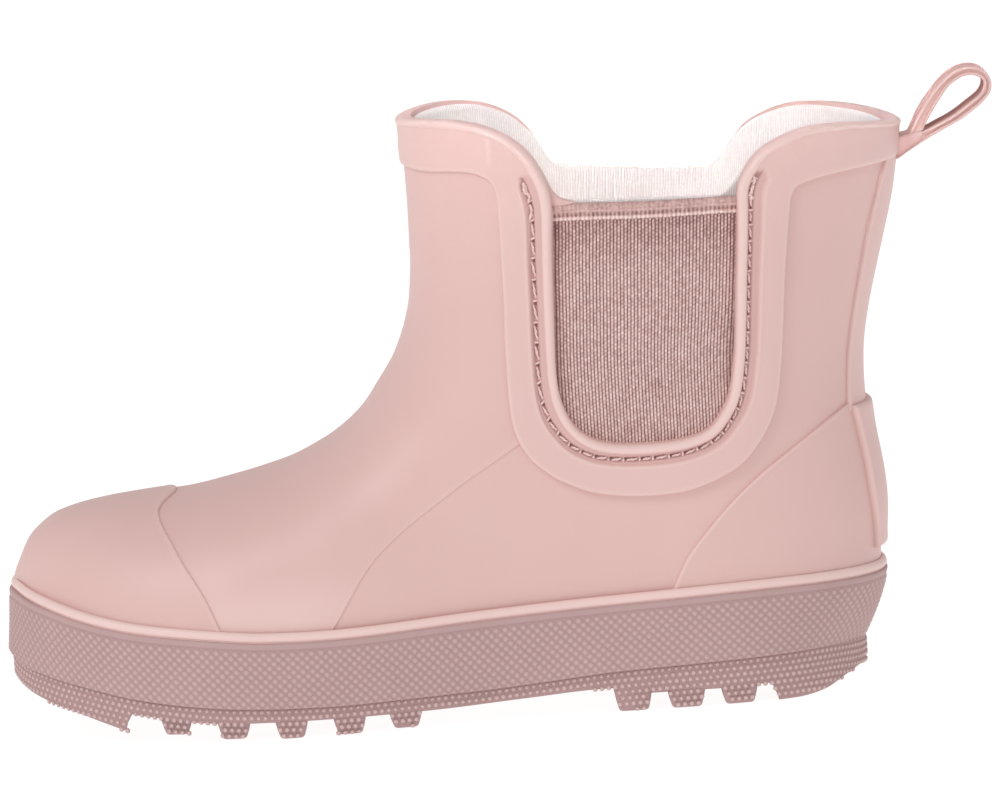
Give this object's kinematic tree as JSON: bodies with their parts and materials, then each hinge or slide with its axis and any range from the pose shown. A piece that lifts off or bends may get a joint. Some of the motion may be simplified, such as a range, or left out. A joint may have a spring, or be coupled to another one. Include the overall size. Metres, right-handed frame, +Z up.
{
  "type": "rain boot",
  "caption": "Child's pull-on ankle rain boot, left foot, with elastic side panels, knurled sidewall, lugged sole and a folded rear pull loop.",
  "frame": {"origin": "on the ground under the middle of the overall box", "axes": "+X from toe to heel, +Z up, outer side of the left foot at -Y, inner side at +Y"},
  "size_m": [0.2255, 0.0801, 0.1348],
  "materials": {
    "rubber_upper": "satin",
    "rubber_sole": "matte",
    "elastic_webbing": "ribbed matte",
    "knit_lining": "matte knit",
    "footbed_fabric": "matte",
    "insole_board": "matte",
    "filler_rubber": "matte"
  },
  "bodies": {
    "boot": {"front_sheet": "rubber_upper", "quarter_outer": "rubber_upper", "quarter_inner": "rubber_upper", "toe_cap": "rubber_upper", "heel_counter": "rubber_upper", "back_strip": "rubber_upper", "back_tab": "rubber_upper", "collar_front": "rubber_upper", "collar_rear": "rubber_upper", "gore_frame_outer": "rubber_upper", "gore_frame_inner": "rubber_upper", "gore_rim_outer": "rubber_upper", "gore_rim_inner": "rubber_upper", "gore_outer": "elastic_webbing", "gore_inner": "elastic_webbing", "gore_hem_outer": "elastic_webbing", "gore_hem_inner": "elastic_webbing", "gore_stitches_outer": "rubber_upper", "gore_stitches_inner": "rubber_upper", "lining_front": "knit_lining", "lining_outer": "knit_lining", "lining_inner": "knit_lining", "gore_lining_outer": "knit_lining", "gore_lining_inner": "knit_lining", "foxing_bead": "rubber_upper", "sidewall_band": "rubber_sole", "outsole_plate": "rubber_sole", "toe_block": "rubber_sole", "forefoot_lugs": "rubber_sole", "heel_lugs": "rubber_sole", "heel_block": "rubber_sole", "midsole_filler": "filler_rubber", "insole_board": "insole_board", "footbed": "footbed_fabric", "loop_anchor": "rubber_upper"},
    "pull_loop": {"pull_loop": "rubber_upper"}
  },
  "joints": [
    {"name": "loop_flex", "type": "hinge", "parent": "boot", "child": "pull_loop", "pos_m": [0.0945, 0, 0.1186], "axis": [0, 1, 0], "range_deg": [-20, 55], "stiffness_Nm_per_rad": 0.05}
  ]
}
